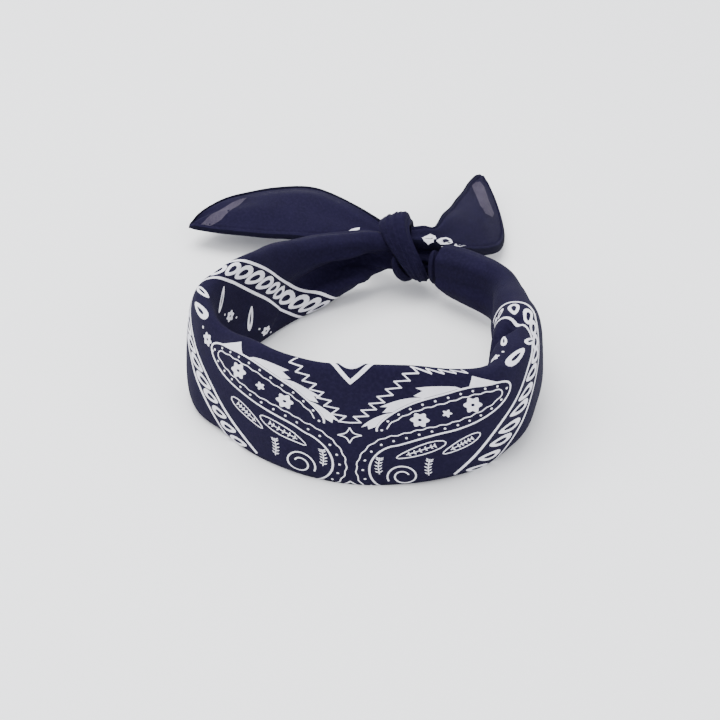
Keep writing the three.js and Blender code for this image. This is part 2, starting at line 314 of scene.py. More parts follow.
def band_relief(surface):
    """The height of the band's creases at each grid point, in millimetres."""
    p = surface.a_of_row[:, None]
    share = np.linspace(-1, 1, 2 * BAND_SIDE + 1)[None, :]
    u = np.where(share > 0, share * surface.reach[:, :1], share * surface.reach[:, 1:])
    height = sum(size * np.sin(a * p + b * u + phase) for size, a, b, phase in BAND_WAVES)
    gather = smooth_step(*GATHER["left"], p) + smooth_step(*GATHER["right"], p)
    folds = sum(size * np.cos(a * p + b * u + phase) for size, a, b, phase in GATHER["folds"])
    height = height + gather * folds
    # the lip of the right rear fold, and the deep hollow under it where the front roll dives in
    lip = p - LIP["at"] - LIP["slant"] * u
    under = np.exp(-((lip + UNDER_LIP["before"]) / UNDER_LIP["spread"]) ** 2)
    height = height - UNDER_LIP["depth"] * under * bump(u, *UNDER_LIP["across"])
    raised = smooth_step(*LIP_START, lip) * smooth_step(*LIP_FADE, lip)
    height = height + LIP["rise"] * raised * bump(u, *LIP["across"])
    # a small pleat across the inner face on the left
    beside = p - INNER_PLEAT["at"] - INNER_PLEAT["slant"] * u
    pleat = (smooth_step(-PLEAT_EDGE, 0, beside) - 1) * bump(u, *INNER_PLEAT["across"])
    height = height + INNER_PLEAT["depth"] * pleat * bump(p, *INNER_PLEAT["along"])
    # the deep hollow under the left rear roll
    height = height - REAR_HOLLOW["depth"] * bump(p, *REAR_HOLLOW["along"]) * bump(u, *REAR_HOLLOW["across"])
    # soft slanting drapes on the front
    for drape in DRAPES:
        slanted = bump(p - drape["slant"] * u, *drape["along"])
        height = height - drape["depth"] * slanted * bump(u, *drape["across"])
    return height * smooth_step(0, RIM_FADE, 1 - np.abs(share))


# Lines and shapes of the print, in centimetres on the flat cloth
LINE = 0.07
FINE = 0.052


def curve(points, spacing=0.13):
    """A smooth curve through the points, at about even spacing."""
    points = np.array(points, dtype=float)
    table = {"a": points[:, 0], "b": points[:, 1]}
    length = path_steps(points)[-1]
    fine = row_at(table, np.linspace(0, len(points) - 1, max(8 * len(points), 40)))
    path = np.stack([fine["a"], fine["b"]], axis=1)
    steps = path_steps(path)
    places = np.linspace(0, steps[-1], max(3, int(round(length / spacing)) + 1))
    return np.stack([np.interp(places, steps, path[:, c]) for c in range(2)], axis=1)


def wavy(path, height=0.027, length=0.5):
    steps = path_steps(path)
    side = unit(np.gradient(path, axis=0))[:, ::-1] * (-1, 1)
    return path + side * (height * np.sin(2 * math.pi * steps / length))[:, None]


def stroke(path, width):
    """A line of that width along the path, as one quad for each step."""
    path = np.asarray(path, dtype=float)
    along = unit(np.gradient(path, axis=0))
    side = np.stack([-along[:, 1], along[:, 0]], axis=1)
    left, right = path + side * width / 2, path - side * width / 2
    return [np.array([left[k], right[k], right[k + 1], left[k + 1]]) for k in range(len(path) - 1)]


def straight(points, width):
    """Straight lines from point to point, with sharp corners."""
    quads = []
    for start, end in zip(points, points[1:]):
        start, end = np.array(start, dtype=float), np.array(end, dtype=float)
        reach = unit(end - start) * width * 0.35
        quads += stroke([start - reach, end + reach], width)
    return quads


def oval(middle, wide, tall, count=8):
    angle = np.linspace(0, 2 * math.pi, count, endpoint=False)
    return np.stack([middle[0] + wide / 2 * np.cos(angle), middle[1] + tall / 2 * np.sin(angle)], axis=1)


def blossom(middle, radius, petals, depth=0.3):
    """A flower's outline: the radius waves once for each petal."""
    angle = np.linspace(0, 2 * math.pi, petals * 6, endpoint=False)
    r = radius * (1 - depth * (0.5 - 0.5 * np.cos(petals * angle)))
    return np.stack([middle[0] + r * np.cos(angle), middle[1] + r * np.sin(angle)], axis=1)


def leaflet(root, tip, wide):
    """A small pointed leaf from root to tip."""
    middle = (root + tip) / 2
    side = unit(np.array([-(tip - root)[1], (tip - root)[0]])) * wide / 2
    return np.array([root, middle + side, tip, middle - side])


def drop(middle, wide, tall, turn, count=16):
    """An egg-shaped drop, narrower at the far end of the turned axis."""
    angle = np.linspace(0, 2 * math.pi, count, endpoint=False)
    y = -np.cos(angle) * tall / 2
    x = np.sin(angle) * wide / 2 * (1 - 0.45 * (y / tall + 0.5))
    c, s = math.cos(turn), math.sin(turn)
    return np.stack([middle[0] + c * x - s * y, middle[1] + s * x + c * y], axis=1)


class Print:
    """What is printed, in the order it is laid down: ink over cloth, or bare cloth over ink."""

    def __init__(self):
        self.shapes = []

    def ink(self, polygons):
        self.shapes += [(np.asarray(q, dtype=float), True) for q in polygons]

    def bare(self, polygons):
        self.shapes += [(np.asarray(q, dtype=float), False) for q in polygons]

    def flower(self, middle, radius):
        """Six petals round a bare eye."""
        self.ink([blossom(middle, radius, 6)])
        self.bare([oval(middle, radius * 0.42, radius * 0.36)])

    def sprig(self, points, reach):
        """A fine stem with six short barbs on each side."""
        path = curve(points, 0.08)
        self.ink(stroke(path, FINE * 0.8))
        along = unit(np.gradient(path, axis=0))
        for k in np.linspace(1, len(path) - 2, 6).astype(int):
            for hand in (-1, 1):
                side = np.array([-along[k, 1], along[k, 0]]) * hand
                tip = path[k] + side * reach - along[k] * reach * 0.7
                self.ink([leaflet(path[k], tip, FINE * 1.3)])

    def placed(self, change):
        """The same shapes after change, a function of points."""
        out = Print()
        out.shapes = [(change(q), white) for q, white in self.shapes]
        return out


# The paisley to the right of the print's middle: a long tilted lobe and a round head
PAISLEY = {"lobe": (3.7, 2.05), "length": 5.7, "width": 1.8, "tilt": -21, "head": (2.1, 5.05), "radius": 1.35}
# its second line and its dots, by how far in from the lobe's edge and out from the head's
SECOND_LINE = (0.4, 0.5)
DOTS = {"line": (0.2, 0.25), "wide": 0.105, "each": 4}
FLAME = {"angles": (196, 228, 258), "span": 32, "tip": 0.4, "barb": 0.62}
SPIRAL = {"inner": 0.22, "outer": 0.66, "turns": 1.5, "start": 0.5}
SPUR = [(296, 0), (299, 0.5), (312, 0.25), (334, 0)]  # the angle on the lobe, and how far out
LEAVES = [((2.75, 3.95), 0.6, 2.1, 65), ((4.35, 3.6), 0.55, 1.8, 55)]  # middle, width, length, turn
SPRIGS = {"at": (1.15, 3.1), "from": 4.4, "bend": (-0.05, 4.85), "to": 5.3}
LOBE_FLOWERS = [(-1.1, 0.38), (1.1, 0.4)]  # how far along the lobe from its middle, and the radius


def lobe_point(angle, out=0.0):
    """A point at that angle of the lobe's edge, with both half axes longer by out, in centimetres."""
    angle, tilt = math.radians(angle), math.radians(PAISLEY["tilt"])
    x = (PAISLEY["length"] / 2 + out) * math.cos(angle)
    y = (PAISLEY["width"] / 2 + out) * math.sin(angle)
    middle = PAISLEY["lobe"]
    return np.array([
        middle[0] + x * math.cos(tilt) - y * math.sin(tilt),
        middle[1] + x * math.sin(tilt) + y * math.cos(tilt),
    ])


def paisley_line(inset, outset):
    """Round the lobe at that inset, then round the head at that outset."""
    lobe = [lobe_point(t, -inset) for t in np.linspace(182, 462, 34)]
    middle, radius = PAISLEY["head"], PAISLEY["radius"] + outset
    head = [
        (middle[0] + radius * math.cos(t), middle[1] + radius * math.sin(t))
        for t in np.radians(np.linspace(-98, -255, 18))
    ]
    return curve(lobe + head)


def flame(at):
    """A toothed leaf that leans back from the lobe's upper edge."""
    tip, barb, span = FLAME["tip"], FLAME["barb"], FLAME["span"]
    back = [lobe_point(at + span * k / 6, barb * (1 - k / 6) ** 0.7) for k in range(6, -1, -1)]
    belly = [lobe_point(at + span * k / 6, 0.06) for k in range(6)]
    return np.array(back + [lobe_point(at + 3, tip), lobe_point(at - 5, tip * 0.8)] + belly)


def half_print():
    """The right half: the paisley with its flames, leaves, sprigs, flowers and spiral."""
    art = Print()
    art.ink(stroke(paisley_line(0, 0), 0.08))
    art.ink(stroke(wavy(paisley_line(*SECOND_LINE)), FINE))
    art.ink([oval(q, DOTS["wide"], DOTS["wide"]) for q in paisley_line(*DOTS["line"])[:: DOTS["each"]]])
    art.ink([flame(at) for at in FLAME["angles"]])
    art.ink([np.array([lobe_point(angle, out) for angle, out in SPUR])])
    for middle, wide, tall, turn in LEAVES:
        turned = math.radians(turn)
        rim = drop(middle, wide, tall, turned)
        art.ink(stroke(np.vstack([rim, rim[:1]]), FINE))
        reach = np.array([-math.sin(turned), math.cos(turned)]) * tall * 0.3
        art.sprig([np.array(middle) - reach, np.array(middle), np.array(middle) + reach], 0.12)
    for p in SPRIGS["at"]:
        aside, level = SPRIGS["bend"]
        art.sprig([(p, SPRIGS["from"]), (p + aside, level), (p, SPRIGS["to"])], 0.16)
    for along, radius in LOBE_FLOWERS:
        tilt = math.radians(PAISLEY["tilt"])
        x, y = PAISLEY["lobe"]
        art.flower((x + along * math.cos(tilt), y + along * math.sin(tilt)), radius)
    art.ink([blossom(PAISLEY["lobe"], 0.2, 5, 0.45)])
    angle = np.linspace(0, 2 * math.pi * SPIRAL["turns"], 40)
    radius = np.linspace(SPIRAL["inner"], SPIRAL["outer"], 40)
    x = PAISLEY["head"][0] + radius * np.cos(angle + SPIRAL["start"])
    y = PAISLEY["head"][1] + 0.35 - radius * np.sin(angle + SPIRAL["start"])
    art.ink(stroke(np.stack([x, y], axis=1), LINE))
    return art


# the toothed line round the square's corner: its teeth down each slope, and along the fold on the right
TOOTH = {"count": 8, "first": (0.42, 2.62), "step": (0.285, -0.335), "spread": 0.015, "notch": (-0.27, -0.27)}
FOLD_TEETH = {"count": 4, "step": (0.5, -0.02), "notch": (-0.17, -0.2)}
CORNER_STAR = {"middle": 3.27, "reach": 0.46, "rise": 0.38, "pinch": 0.62}
# the line along the square's corner, the crescent's disc and its hole, and the small angle at the foot
CORNER_LINE = {"points": [(-4.2, -3.45), (0, 0.75), (4.2, -3.45)], "width": 0.17}
CRESCENT = {"disc": (-0.42, 1.3, 1.26), "hole": (-0.5, 0.86, 0.8), "flower": (-0.6, 0.22)}
FOOT_ANGLE = [(-0.25, 6.0), (0, 5.75), (0.25, 6.0)]


def middle_print():
    """What crosses the print's middle: the square's corner, the crescent, the toothed line and the star."""
    art = Print()
    art.ink(straight(CORNER_LINE["points"], CORNER_LINE["width"]))
    u, wide, tall = CRESCENT["disc"]
    art.ink([oval((0, u), wide, tall, count=26)])
    u, wide, tall = CRESCENT["hole"]
    art.bare([oval((0, u), wide, tall, count=20)])
    u, radius = CRESCENT["flower"]
    art.ink([blossom((0, u), radius, 5)])
    for hand in (-1, 1):
        points = [(0, TOOTH["first"][1] + 0.03)]
        for k in range(TOOTH["count"]):
            x = TOOTH["first"][0] + TOOTH["step"][0] * k * (1 + TOOTH["spread"] * k)
            y = TOOTH["first"][1] + TOOTH["step"][1] * k
            points.append((hand * x, y))
            points.append((hand * (x + TOOTH["notch"][0]), y + TOOTH["notch"][1]))
        if hand > 0:
            for k in range(1, FOLD_TEETH["count"] + 1):
                tip = (x + FOLD_TEETH["step"][0] * k, y + FOLD_TEETH["step"][1] * k)
                points.append(tip)
                points.append((tip[0] + FOLD_TEETH["notch"][0], tip[1] + FOLD_TEETH["notch"][1]))
        art.ink(straight(points, 0.062))
    middle, reach, rise, pinch = (CORNER_STAR[key] for key in ("middle", "reach", "rise", "pinch"))
    corners = [(reach, 0), (0, rise), (-reach, 0), (0, -rise)]
    for (ax, ay), (bx, by) in zip(corners, corners[1:] + corners[:1]):
        arc = [(ax, middle + ay), (pinch * (ax + bx) / 2, middle + pinch * (ay + by) / 2), (bx, middle + by)]
        art.ink(stroke(curve(arc, 0.09), FINE))
    art.ink(straight(FOOT_ANGLE, LINE))
    return art


# The border: two lines and evenly spaced ringed drops between them, over the fold to the inner face
BORDERS = {
    "right": {
        "outer": [(6, 5.4), (8.5, 2.2), (11.5, 0.4), (13, -2.6)],
        "inner": [(4.2, 5.4), (7, 1.7), (9.8, 0.4), (11, -2.6)],
        "drops": 15,
    },
    "left": {
        "outer": [(-6, 5.4), (-9, 2.5), (-14, -0.6), (-19.4, -4.8)],
        "inner": [(-4.2, 5.4), (-7.5, 2.5), (-12, -0.6), (-17.2, -4.8)],
        "drops": 22,
    },
}
BORDER_LINE = 0.14
DROP = {"wide": 0.336, "tall": 0.62}  # as shares of the way between the lines
DROP_HOLE = {"wide": 0.42, "tall": 0.52}  # as shares of the drop


def border_print(lines):
    art = Print()
    outer, inner = curve(lines["outer"]), curve(lines["inner"])
    art.ink(stroke(outer, BORDER_LINE))
    art.ink(stroke(inner, BORDER_LINE))
    for share in (np.arange(lines["drops"]) + 0.5) / lines["drops"]:
        a, b = outer[int(share * (len(outer) - 1))], inner[int(share * (len(inner) - 1))]
        gap = np.linalg.norm(b - a)
        turned = math.atan2(b[1] - a[1], b[0] - a[0]) - math.pi / 2
        wide, tall = DROP["wide"] * gap, DROP["tall"] * gap
        art.ink([drop((a + b) / 2, wide, tall, turned)])
        art.bare([drop((a + b) / 2, wide * DROP_HOLE["wide"], tall * DROP_HOLE["tall"], turned)])
    return art


# Leaves and flowers where the print turns over the two sides: p, u, length, turn in degrees
CORNER_LEAVES = [
    (-8.6, 0.35, 1.6, 80),
    (-9.9, 0.1, 1.2, 60),
    (-11.2, -1.2, 1.3, 40),
    (-13.4, -3.2, 1.3, 10),
    (7.3, 0.4, 1.6, 280),
    (8.9, 0.75, 1.1, 300),
    (8.2, -0.4, 1.0, 260),
]
CORNER_FLOWERS = [(-7.4, 1.0), (-11.9, -2.4), (-14.4, -4.3), (6.8, -0.5)]
FLOWER_DOT = {"aside": (0.45, 0.3), "wide": 0.12}


def corner_print():
    art = Print()
    for p, u, tall, turn in CORNER_LEAVES:
        turned = math.radians(turn)
        art.ink([drop((p, u), tall * 0.34, tall, turned)])
        art.bare([drop((p, u), tall * 0.1, tall * 0.5, turned)])
    for p, u in CORNER_FLOWERS:
        art.flower((p, u), 0.3)
        for hand in (1, -1):
            place = (p + hand * FLOWER_DOT["aside"][0], u + hand * FLOWER_DOT["aside"][1])
            art.ink([oval(place, FLOWER_DOT["wide"], FLOWER_DOT["wide"])])
    return art


# How the left half differs from a mirror image, by factors of p, of p past far, and of u
MIRROR = {"far": 2.3, "along": (-1.04, -0.11, 0.024), "across": (-0.08, 0.17, 0.98), "raise": 0.12}


def left_half(points):
    """A shape of the right half, mirrored to the left, where the folds lie a little differently."""
    p, u = points[:, 0], points[:, 1]
    terms = np.stack([p, np.maximum(0, p - MIRROR["far"]), u])
    return np.stack([MIRROR["along"] @ terms, MIRROR["across"] @ terms - MIRROR["raise"]], axis=1)


def band_print():
    art = Print()
    half = half_print()
    borders = [border_print(BORDERS[side]) for side in ("right", "left")]
    for piece in [half, half.placed(left_half), middle_print(), *borders, corner_print()]:
        art.shapes += piece.shapes
    return art


# Cloth meshes
def signed_area(q):
    return 0.5 * np.sum(q[:, 0] * np.roll(q[:, 1], -1) - np.roll(q[:, 0], -1) * q[:, 1])


LONGEST_EDGE = 0.16  # in centimetres, so that a printed edge follows the folds
SAME_POINT = 1e-5  # points closer than this are merged where outlines are cut


def short_edges(q):
    """The polygon with points added on its long edges."""
    out = []
    for start, end in zip(q, np.roll(q, -1, axis=0)):
        parts = max(1, int(np.ceil(np.linalg.norm(end - start) / LONGEST_EDGE)))
        out += [start + (end - start) * k / parts for k in range(parts)]
    return np.array(out)


def cap_faces(ring, surface, first, inner):
    """The points, normals and faces that close an end, with a low dome over the end's section."""
    places, _ = surface.at(ring)
    away = unit(places.mean(axis=0) - surface.at(inner)[0].mean(axis=0))
    places = np.vstack([places, places.mean(axis=0) + away * END_DOME])
    count = len(ring)
    faces = [[first + k, first + (k + 1) % count, first + count] for k in range(count)]
    normals = np.repeat(away[None, :], count + 1, axis=0)
    one, two = places[1] - places[0], places[count] - places[0]
    if np.cross(one, two) @ away < 0:
        faces = [f[::-1] for f in faces]
    return places, normals, faces


def printed_mesh(name, outline, inside, art, surface, materials, ends):
    """A cloth whose flat outline is cut along every printed edge, then laid on the surface."""
    points, faces, white = [], [], []

    def add(q, is_white):
        q = np.asarray(q, dtype=float)
        if signed_area(q) < 0:
            q = q[::-1]
        faces.append(list(range(len(points), len(points) + len(q))))
        points.extend(Vector((float(x), float(y))) for x, y in q)
        white.append(is_white)

    add(outline, False)
    for q, is_white in art.shapes:
        add(short_edges(q), is_white)
    points.extend(Vector((float(x), float(y))) for x, y in inside)
    flat, _, triangles, _, _, origins = delaunay_2d_cdt(points, [], faces, 0, SAME_POINT)
    kept = [(t, white[max(o)]) for t, o in zip(triangles, origins) if 0 in o]
    flat = np.array([tuple(q) for q in flat])
    places, normals = surface.at(flat)
    used = sorted({v for t, _ in kept for v in t})
    index = {v: k for k, v in enumerate(used)}
    flat, places, normals = flat[used], places[used], normals[used]
    kept = [([index[v] for v in t], is_white) for t, is_white in kept]
    first = places[kept[0][0]]
    facing = np.cross(first[1] - first[0], first[2] - first[0]) @ normals[kept[0][0][0]]
    order = 1 if facing > 0 else -1
    kept = [(t[::order], is_white) for t, is_white in kept]
    for ring, inner in ends:
        more, turned, caps = cap_faces(ring, surface, len(places), inner)
        places, normals = np.vstack([places, more]), np.vstack([normals, turned])
        flat = np.vstack([flat, ring, ring.mean(axis=0)[None, :]])
        kept += [(t, False) for t in caps]
    mesh = bpy.data.meshes.new(name)
    mesh.from_pydata(((places + RING_CENTRE) * MM).tolist(), [], [t for t, _ in kept])
    mesh.polygons.foreach_set("material_index", [1 if is_white else 0 for _, is_white in kept])
    add_flat_uv(mesh, flat)
    for material in materials:
        mesh.materials.append(material)
    mesh.polygons.foreach_set("use_smooth", [True] * len(kept))
    mesh.normals_split_custom_set_from_vertices(normals.tolist())
    return new_object(name, mesh)


def add_flat_uv(mesh, flat):
    """The threads run along the square's hems, so the flat coordinates are turned by 45 degrees."""
    layer = mesh.uv_layers.new(name="cloth")
    loops = np.zeros(len(mesh.loops), dtype=int)
    mesh.loops.foreach_get("vertex_index", loops)
    a, b = flat[loops, 0], flat[loops, 1]
    uv = np.stack([(a + b) * math.sqrt(0.5), (a - b) * math.sqrt(0.5)], axis=1)
    layer.data.foreach_set("uv", uv.ravel())


def new_object(name, mesh):
    piece = bpy.data.objects.new(name, mesh)
    bpy.context.scene.collection.objects.link(piece)
    return piece


# Cloth materials
def make_node(tree, kind, values=(), links=(), **settings):
    """A shader node with its settings, its inputs' values and the outputs linked into it."""
    node = tree.nodes.new("ShaderNode" + kind)
    for key, value in settings.items():
        setattr(node, key, value)
    for key, value in dict(values).items():
        node.inputs[key].default_value = value
    for key, out in dict(links).items():
        tree.links.new(out, node.inputs[key])
    return node


def cloth_material(name, base, deep, thread, ink):
    """Plain-weave cotton: fine threads over and under along both hems, uneven dye and stray fibres."""
    material = bpy.data.materials.new(name)
    material.use_nodes = True
    tree = material.node_tree
    shader = tree.nodes["Principled BSDF"]
    uv = make_node(tree, "UVMap", uv_map="cloth").outputs["UV"]
    wave = {"Scale": THREAD_SCALE, "Distortion": 0.6, "Detail": 1.0, "Detail Scale": 0.4}
    warp, weft = (
        make_node(tree, "TexWave", wave, {"Vector": uv}, wave_type="BANDS", bands_direction=way)
        for way in "XY"
    )
    both = {0: warp.outputs["Fac"], 1: weft.outputs["Fac"]}
    weave = make_node(tree, "Math", (), both, operation="MULTIPLY").outputs["Value"]
    slub = make_node(tree, "TexNoise", {"Scale": 7, "Detail": 5}, {"Vector": uv}).outputs["Fac"]
    mottle = make_node(tree, "TexNoise", {"Scale": 0.9, "Detail": 3}, {"Vector": uv}).outputs["Fac"]

    ramp = make_node(tree, "ValToRGB", (), {"Fac": mottle})
    for element, position, color in zip(ramp.color_ramp.elements, (0.3, 0.7), (deep, base)):
        element.position = position
        element.color = (*color, 1)
    reach = {"From Min": 0.42, "From Max": 0.75, "To Max": 0.3 if ink else 0.5}
    fleck = make_node(tree, "MapRange", reach, {"Value": slub}).outputs["Result"]
    lift = make_node(tree, "Math", {1: 0.35}, {0: weave, 2: fleck}, operation="MULTIPLY_ADD")
    parts = {"Factor": lift.outputs["Value"], "A": ramp.outputs["Color"]}
    mix = make_node(tree, "Mix", {"B": (*thread, 1)}, parts, data_type="RGBA")
    tree.links.new(mix.outputs["Result"], shader.inputs["Base Color"])

    fuzz = make_node(tree, "Math", {1: 0.6}, {0: slub, 2: weave}, operation="MULTIPLY_ADD")
    raised = {"Height": fuzz.outputs["Value"]}
    bumps = make_node(tree, "Bump", {"Strength": 0.35, "Distance": 0.00022}, raised)
    tree.links.new(bumps.outputs["Normal"], shader.inputs["Normal"])
    rough = make_node(tree, "MapRange", {"To Min": 0.78, "To Max": 0.95}, {"Value": slub})
    tree.links.new(rough.outputs["Result"], shader.inputs["Roughness"])
    shader.inputs["Specular IOR Level"].default_value = 0.07
    shader.inputs["Sheen Weight"].default_value = 0.006
    shader.inputs["Sheen Roughness"].default_value = 0.5
    shader.inputs["Sheen Tint"].default_value = (0.75, 0.77, 0.9, 1)
    return material


THREAD_SCALE = 9.0  # gives threads 0.35 mm apart, as the flat coordinates are in centimetres
NAVY_DEEP = (0.005, 0.0038, 0.0155)
INK_DEEP, INK_THREAD = (0.70, 0.69, 0.76), (0.52, 0.52, 0.62)
# the hem's colours are a darker navy: painted shade along the tails' rolled edges
HEM_SHADE_NAVY, HEM_SHADE_DEEP, HEM_SHADE_THREAD = (0.0024, 0.0019, 0.0095), (0.0018, 0.0014, 0.007), (0.006, 0.005, 0.017)
# a paler grey navy for the one thin layer near each tip: painted light from the floor showing through it
THROUGH_LIGHT_NAVY, THROUGH_LIGHT_DEEP, THROUGH_LIGHT_THREAD = (0.045, 0.038, 0.06), (0.03, 0.025, 0.042), (0.075, 0.065, 0.09)
navy = cloth_material("navy_cotton", NAVY, NAVY_DEEP, NAVY_THREAD, False)
white = cloth_material("white_print", INK, INK_DEEP, INK_THREAD, True)
# the hem material carries painted shade
hem_shade = cloth_material("hem_painted_shade", HEM_SHADE_NAVY, HEM_SHADE_DEEP, HEM_SHADE_THREAD, False)
# the thin layer's material carries painted light showing through the cloth
through_light = cloth_material("thin_cotton_painted_light", THROUGH_LIGHT_NAVY, THROUGH_LIGHT_DEEP, THROUGH_LIGHT_THREAD, False)


# The band
def plain_points(surface, stations, levels):
    """Flat points at every station and level, where a level is a share of the reach on its side."""
    out = []
    for a in stations:
        reach = [np.interp(a, surface.a_of_row, surface.reach[:, side]) for side in (0, 1)]
        out += [(a, s * reach[0 if s > 0 else 1]) for s in levels]
    return out


def band_outline(surface, stations, levels):
    foot = plain_points(surface, stations, [1])
    end = plain_points(surface, stations[-1:], levels[::-1])
    back = plain_points(surface, stations[::-1], [-1])
    start = plain_points(surface, stations[:1], levels)
    return np.array(foot + end + back + start)


BAND_ROWS_MADE = 210
# mesh levels beside the upper fold and down each face: first, last and count, as shares of the reach
NEAR_FOLD = (-0.16, 0.16, 13)
DOWN_FACE = (0.2, 0.98, 22)
END_DOME = 1.2  # how far an end's cap bulges, in millimetres
# how far the foot of the left end runs on towards the knot, over what length and below what height
END_TUCK = {"push": 2.4, "over": 9, "below": 28, "fade": 10}


def tuck_end(surface):
    """Lets the foot of the left end run on towards the knot."""
    middle = surface.points.mean(axis=1)
    away = unit(middle[0] - middle[8])
    near = smooth_step(END_TUCK["over"] / 10, 0, surface.a_of_row - surface.a_of_row[0])[:, None]
    low = np.clip((END_TUCK["below"] - surface.points[:, :, 2]) / END_TUCK["fade"], 0, 1)
    surface.points = surface.points + (END_TUCK["push"] * near * low)[:, :, None] * away


def make_band():
    surface = make_band_surface()
    surface.press(band_relief(surface))
    tuck_end(surface)
    surface.points[:, :, 2] = np.maximum(surface.points[:, :, 2], 0)
    surface.update()
    stations = np.linspace(surface.a_of_row[0], surface.a_of_row[-1], BAND_ROWS_MADE)
    near, far = np.linspace(*NEAR_FOLD), np.linspace(*DOWN_FACE)
    levels = np.concatenate([-far[::-1], near, far])
    inside = plain_points(surface, stations[1:-1], levels)
    outline = band_outline(surface, stations, levels)
    rims = np.concatenate([[-1], levels, [1]])
    ends = [
        tuple(np.array(plain_points(surface, [stations[k]], rims)) for k in pair)
        for pair in ((0, 3), (-1, -4))
    ]
    return printed_mesh("printed_band", outline, inside, band_print(), surface, [navy, white], ends)


band = make_band()
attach(band, "root")
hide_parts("band")


# The knot's straps
STRAP_FACE = 48
STRAP_STEPS = 240
STRAP_ROWS_MADE = 130


def in_knot(across, back, up):
    yaw = math.radians(KNOT["yaw"])
    return np.stack([
        KNOT["x"] + across * math.cos(yaw) - back * math.sin(yaw),
        KNOT["y"] + across * math.sin(yaw) + back * math.cos(yaw),
        KNOT["z"] + up + 0 * across,
    ], axis=-1)


def strap_surface(w):
    """A gathered strap wound over the core: its outer face, its turned edges and its inner face."""
    whole = w["to"] - w["from"] == 360
    share = np.linspace(0, 1, STRAP_STEPS)
    around = np.radians(w["from"] + (w["to"] - w["from"]) * share)[:, None]
    end = np.ones((STRAP_STEPS, 1))
    if not whole:
        end = (0.25 + 0.75 * np.sqrt(1 - np.abs(2 * share - 1) ** 5))[:, None]
    top = np.maximum(0, np.cos(around))
    # the back of the strap stays to the left, so that it doesn't show beside the front
    lag = np.where(around > math.pi, ((2 * math.pi - around) / math.pi) ** 2, 1)
    shift = -math.tan(math.radians(w["slant"])) * (w["tall"] / 2) * (1 - (1 - np.cos(around)) * lag)
    shift = shift + w["sweep"] * np.maximum(0, np.sin(around)) ** 2
    wide = w["foot_wide"] + (w["top_wide"] - w["foot_wide"]) * np.abs(np.cos(around / 2))
    side = np.linspace(-1, 1, STRAP_FACE)[None, :]
    crown = w["wall"] * (end - 1 - 0.45 * np.abs(side) ** 2.5)
    pleat = 0 * side
    for count, depth, phase in w["pleats"]:
        drift = phase + 0.5 * np.sin(around + phase)
        pleat = pleat + depth * (np.cos(side * math.pi * count + drift) - 1)
    slope = np.where(side < w["peak_side"], PEAK_LEFT, PEAK_RIGHT)
    peak = w["peak"] * top**3 * np.maximum(0, 1 - np.abs(side - w["peak_side"]) / slope)
    height = np.maximum(crown + pleat + peak, 0.8 - w["wall"])
    side = np.concatenate([side, [[0.97, 0.86, 0.4, 0, -0.4, -0.86, -0.97, -1]]], axis=1)
    under = np.array([-0.7, -1, -1, -1, -1, -1, -0.7, 0])[None, :] * w["wall"]
    under = under + 0 * around
    under[:, -1] = height[:, 0]
    height = np.concatenate([height, under], axis=1)
    grid = in_knot(
        w["across"] + shift + side * wide * end / 2,
        w["back"] - np.sin(around) * (w["deep"] / 2 + height),
        w["up"] + np.cos(around) * (w["tall"] / 2 + height),
    )
    length = path_steps(grid[:, STRAP_FACE // 2])
    middle = grid[:, :-1].mean(axis=1, keepdims=True)
    surface = Surface(grid, length / 10, lambda a, b: b, grid - middle)
    return surface, whole


def grid_mesh(name, surface, whole, material, steps, seam):
    """The surface's grid as quads, open along the hidden seam and closed at both ends if it has any."""
    count = len(surface.a_of_row)
    rows = np.unique(np.round(np.linspace(0, count - 1, steps)).astype(int))
    if whole:
        rows = rows[:-1]
    points = np.roll(surface.points[rows][:, :-1], -seam, axis=1)
    points = np.concatenate([points, points[:, :1]], axis=1)
    n, m = points.shape[:2]
    faces = []
    for i in range(n if whole else n - 1):
        a, b = i * m, ((i + 1) % n) * m
        faces += [(a + j, a + j + 1, b + j + 1, b + j) for j in range(m - 1)]
    if not whole:
        for i, hand in ((0, -1), (n - 1, 1)):
            faces.append([i * m + j for j in range(m - 1)][::hand])
    mesh = bpy.data.meshes.new(name)
    mesh.from_pydata(((points.reshape(-1, 3) + RING_CENTRE) * MM).tolist(), [], faces)
    across = path_steps(points[n // 2]) / 10
    flat = np.stack([np.repeat(surface.a_of_row[rows], m), np.tile(across, n)], axis=1)
    add_flat_uv(mesh, flat)
    mesh.materials.append(material)
    mesh.polygons.foreach_set("use_smooth", [True] * len(faces))
    piece = new_object(name, mesh)
    turn_outward(mesh)
    return piece


def turn_outward(mesh):
    """Turns all the faces over if the closed mesh encloses a negative volume."""
    volume = 0.0
    mesh.calc_loop_triangles()
    for t in mesh.loop_triangles:
        a, b, c = (mesh.vertices[v].co for v in t.vertices)
        volume += a.dot(b.cross(c))
    if volume < 0:
        mesh.flip_normals()


for name, size in WRAPS.items():
    surface, whole = strap_surface(size)
    piece_name = name.replace("knot_wrap", "knot_strap")
    strap = grid_mesh(piece_name, surface, whole, navy, STRAP_ROWS_MADE, STRAP_FACE + 3)
    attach(strap, "root")
    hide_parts(name)


# The core of packed folds
def core_surface():
    table = columns(CORE_COLUMNS, CORE_ROWS)
    row = {k: v[:, None] for k, v in row_at(table, np.linspace(0, len(CORE_ROWS) - 1, 90)).items()}
    angle = np.linspace(0, 2 * math.pi, 97)[None, :]
    fold = 0.55 * np.cos(7 * angle + 0.06 * row["across"]) + 0.25 * np.cos(13 * angle + 1) - 0.6
    grid = in_knot(
        row["across"] + 0 * angle,
        row["back"] + (row["deep"] / 2 + fold) * np.cos(angle),
        row["up"] + (row["tall"] / 2 + fold) * np.sin(angle),
    )
    length = path_steps(grid[:, 0])
    middle = grid[:, :-1].mean(axis=1, keepdims=True)
    return Surface(grid, length / 10, lambda a, b: b, grid - middle)


